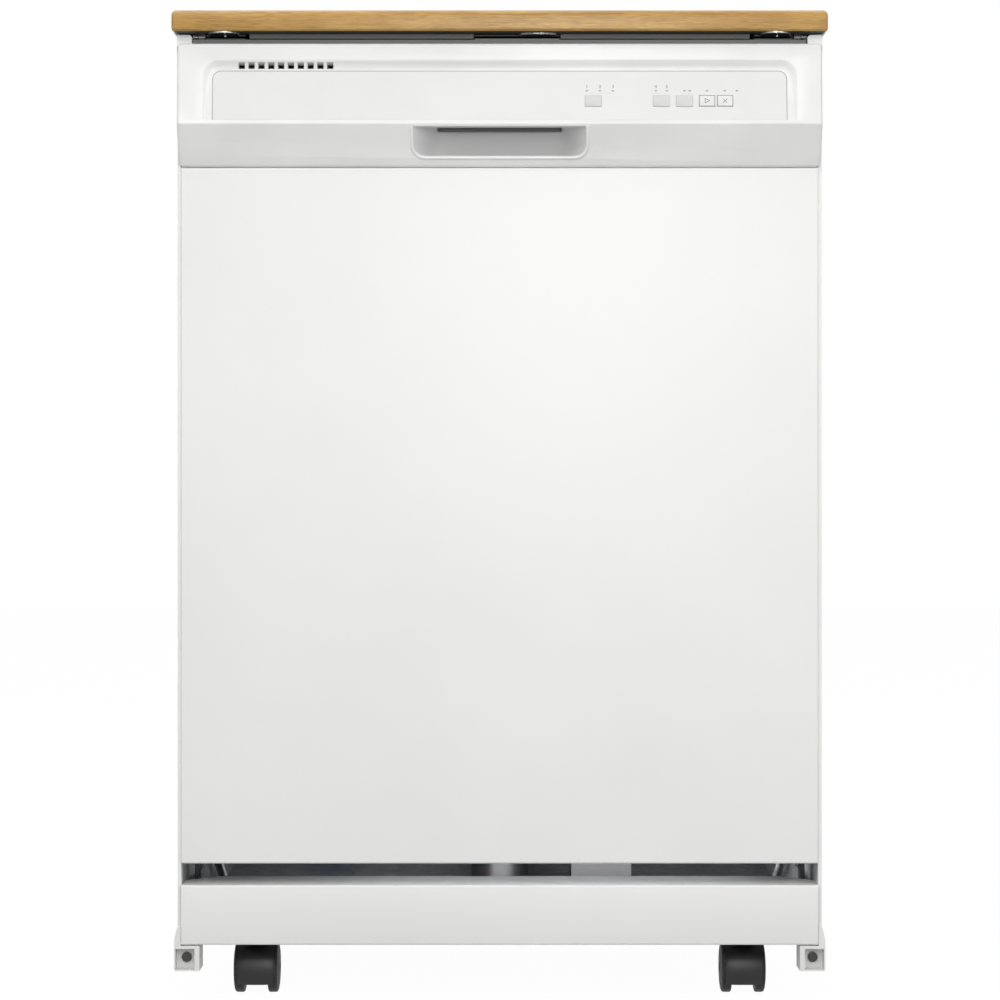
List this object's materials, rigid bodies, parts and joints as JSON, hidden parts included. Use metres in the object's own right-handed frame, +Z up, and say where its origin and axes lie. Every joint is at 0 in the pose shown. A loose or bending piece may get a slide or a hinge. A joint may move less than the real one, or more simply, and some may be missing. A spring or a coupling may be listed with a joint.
{
  "type": "portable dishwasher",
  "caption": "White full-width portable dishwasher on casters with a wooden worktop, drop-down door, racks and spray arms.",
  "frame": {"origin": "on the floor, under the middle of the worktop", "axes": "+Z up, +X to the right of someone facing the door, -Y out of the door's face"},
  "size_m": [0.616, 0.676, 0.9345],
  "materials": {
    "white_steel": "smooth white powder coat",
    "white_plastic": "fine-grained white moulding",
    "console_white": "satin white moulding",
    "overlay_grey": "satin printed film",
    "pad_grey": "soft grey keys",
    "light_lens": "small diffusing lenses",
    "butcher_block": "oiled strips of light wood",
    "dark_steel": "black painted steel",
    "bare_steel": "zinc-plated sheet",
    "stainless": "brushed stainless sheet",
    "tub_plastic": "light grey filled polypropylene",
    "grey_plastic": "grey polypropylene",
    "dark_plastic": "black nylon",
    "soft_seal": "extruded seal",
    "felt": "bitumen felt",
    "rack_nylon": "nylon-coated wire",
    "board_green": "circuit board",
    "blue_plastic": "blue moulding",
    "caster_black": "hard rubber tread",
    "hose_grey": "smooth rubber hose"
  },
  "bodies": {
    "cabinet": {"worktop": "butcher_block", "worktop_brackets": "dark_steel", "corner_caps": "white_plastic", "front_top_rail": "bare_steel", "latch_strike": "bare_steel", "side_panel_left": "white_steel", "side_panel_right": "white_steel", "back_panel": "bare_steel", "storage_box": "grey_plastic", "base_frame": "bare_steel", "corner_feet": "white_plastic", "foot_screws": "dark_steel", "toe_panel": "white_steel", "tub": "tub_plastic", "tub_gasket": "soft_seal", "sound_felt": "felt", "sump": "dark_plastic", "filter": "grey_plastic", "wash_pump": "dark_plastic", "drain_pump": "dark_plastic", "inlet_valve": "blue_plastic", "inner_hoses": "hose_grey", "feed_tube": "grey_plastic", "heater_element": "stainless", "rack_rails": "stainless", "hinge_brackets": "bare_steel", "door_springs": "bare_steel", "rear_caster_forks": "dark_plastic"},
    "door": {"door_panel": "white_steel", "console": "console_white", "control_overlay": "overlay_grey", "indicator_lights": "light_lens", "control_board": "board_green", "latch_assembly": "dark_plastic", "door_liner": "tub_plastic", "hinge_arms": "bare_steel", "door_screws": "bare_steel", "dispenser": "grey_plastic"},
    "dispenser_lid": {"dispenser_lid": "grey_plastic"},
    "rinse_aid_cap": {"rinse_aid_cap": "blue_plastic"},
    "latch_paddle": {"latch_paddle": "dark_plastic"},
    "pad_1": {"pad_1": "pad_grey"},
    "pad_2": {"pad_2": "pad_grey"},
    "pad_3": {"pad_3": "pad_grey"},
    "pad_4": {"pad_4": "pad_grey"},
    "pad_5": {"pad_5": "pad_grey"},
    "upper_rack": {"upper_rack": "rack_nylon"},
    "lower_rack": {"lower_rack": "rack_nylon", "silverware_basket": "grey_plastic"},
    "caster_fork_left": {"caster_fork_left": "dark_plastic"},
    "caster_fork_right": {"caster_fork_right": "dark_plastic"},
    "caster_wheels_left": {"caster_wheels_left": "caster_black"},
    "caster_wheels_right": {"caster_wheels_right": "caster_black"},
    "rear_wheels_left": {"rear_wheels_left": "caster_black"},
    "rear_wheels_right": {"rear_wheels_right": "caster_black"},
    "upper_spray_arm": {"upper_spray_arm": "grey_plastic"},
    "rack_wheels_front": {"rack_wheels_front": "grey_plastic"},
    "rack_wheels_rear": {"rack_wheels_rear": "grey_plastic"},
    "lower_spray_arm": {"lower_spray_arm": "grey_plastic"},
    "overfill_float": {"overfill_float": "grey_plastic"}
  },
  "joints": [
    {"name": "door_hinge", "type": "hinge", "parent": "cabinet", "child": "door", "pos_m": [0, -0.285, 0.149], "axis": [1, 0, 0], "range_deg": [0, 90], "stiffness_Nm_per_rad": 14, "deforming": ["door_springs"]},
    {"name": "upper_rack_slide", "type": "slide", "parent": "cabinet", "child": "upper_rack", "axis": [0, -1, 0], "range_m": [0, 0.44]},
    {"name": "lower_rack_slide", "type": "slide", "parent": "cabinet", "child": "lower_rack", "axis": [0, -1, 0], "range_m": [0, 0.142]},
    {"name": "rack_wheels_front_roll", "type": "hinge", "parent": "lower_rack", "child": "rack_wheels_front", "pos_m": [0, -0.15, 0.1943], "axis": [1, 0, 0], "range_deg": [0, 370]},
    {"name": "rack_wheels_rear_roll", "type": "hinge", "parent": "lower_rack", "child": "rack_wheels_rear", "pos_m": [0, 0.2008, 0.1943], "axis": [1, 0, 0], "range_deg": [0, 370]},
    {"name": "lower_arm_spin", "type": "hinge", "parent": "cabinet", "child": "lower_spray_arm", "pos_m": [0, 0.0104, 0.195], "axis": [0, 0, 1], "continuous": true},
    {"name": "upper_arm_spin", "type": "hinge", "parent": "upper_rack", "child": "upper_spray_arm", "pos_m": [0, 0.0104, 0.53], "axis": [0, 0, 1], "continuous": true},
    {"name": "float_lift", "type": "slide", "parent": "cabinet", "child": "overfill_float", "axis": [0, 0, 1], "range_m": [0, 0.008]},
    {"name": "dispenser_lid_hinge", "type": "hinge", "parent": "door", "child": "dispenser_lid", "pos_m": [-0.03, -0.2595, 0.4418], "axis": [-1, 0, 0], "range_deg": [0, 100]},
    {"name": "rinse_cap_turn", "type": "hinge", "parent": "door", "child": "rinse_aid_cap", "pos_m": [0.042, -0.262, 0.4928], "axis": [0, 1, 0], "range_deg": [0, 90]},
    {"name": "latch_paddle_pull", "type": "hinge", "parent": "door", "child": "latch_paddle", "pos_m": [0, -0.31, 0.8341], "axis": [-1, 0, 0], "range_deg": [0, 20], "stiffness_Nm_per_rad": 0.2},
    {"name": "pad_1_press", "type": "slide", "parent": "door", "child": "pad_1", "axis": [0, 0.9938, -0.1111], "range_m": [0, 0.0006], "stiffness_N_per_m": 900},
    {"name": "pad_2_press", "type": "slide", "parent": "door", "child": "pad_2", "axis": [0, 0.9938, -0.1111], "range_m": [0, 0.0006], "stiffness_N_per_m": 900},
    {"name": "pad_3_press", "type": "slide", "parent": "door", "child": "pad_3", "axis": [0, 0.9938, -0.1111], "range_m": [0, 0.0006], "stiffness_N_per_m": 900},
    {"name": "pad_4_press", "type": "slide", "parent": "door", "child": "pad_4", "axis": [0, 0.9938, -0.1111], "range_m": [0, 0.0006], "stiffness_N_per_m": 900},
    {"name": "pad_5_press", "type": "slide", "parent": "door", "child": "pad_5", "axis": [0, 0.9938, -0.1111], "range_m": [0, 0.0006], "stiffness_N_per_m": 900},
    {"name": "caster_swivel_left", "type": "hinge", "parent": "cabinet", "child": "caster_fork_left", "pos_m": [-0.234, -0.276, 0.06], "axis": [0, 0, 1], "continuous": true},
    {"name": "caster_roll_left", "type": "hinge", "parent": "caster_fork_left", "child": "caster_wheels_left", "pos_m": [-0.234, -0.261, 0.024], "axis": [1, 0, 0], "continuous": true},
    {"name": "caster_swivel_right", "type": "hinge", "parent": "cabinet", "child": "caster_fork_right", "pos_m": [0.234, -0.276, 0.06], "axis": [0, 0, 1], "continuous": true},
    {"name": "caster_roll_right", "type": "hinge", "parent": "caster_fork_right", "child": "caster_wheels_right", "pos_m": [0.234, -0.261, 0.024], "axis": [1, 0, 0], "continuous": true},
    {"name": "rear_roll_left", "type": "hinge", "parent": "cabinet", "child": "rear_wheels_left", "pos_m": [-0.234, 0.261, 0.024], "axis": [1, 0, 0], "continuous": true},
    {"name": "rear_roll_right", "type": "hinge", "parent": "cabinet", "child": "rear_wheels_right", "pos_m": [0.234, 0.261, 0.024], "axis": [1, 0, 0], "continuous": true}
  ],
  "couplings": [
    {"joint": "upper_rack_slide", "follows": "door_hinge", "m_per_rad": 0.28},
    {"joint": "lower_rack_slide", "follows": "door_hinge", "m_per_rad": 0.09},
    {"joint": "rack_wheels_front_roll", "follows": "door_hinge", "ratio": 4.0909},
    {"joint": "rack_wheels_rear_roll", "follows": "door_hinge", "ratio": 4.0909}
  ]
}
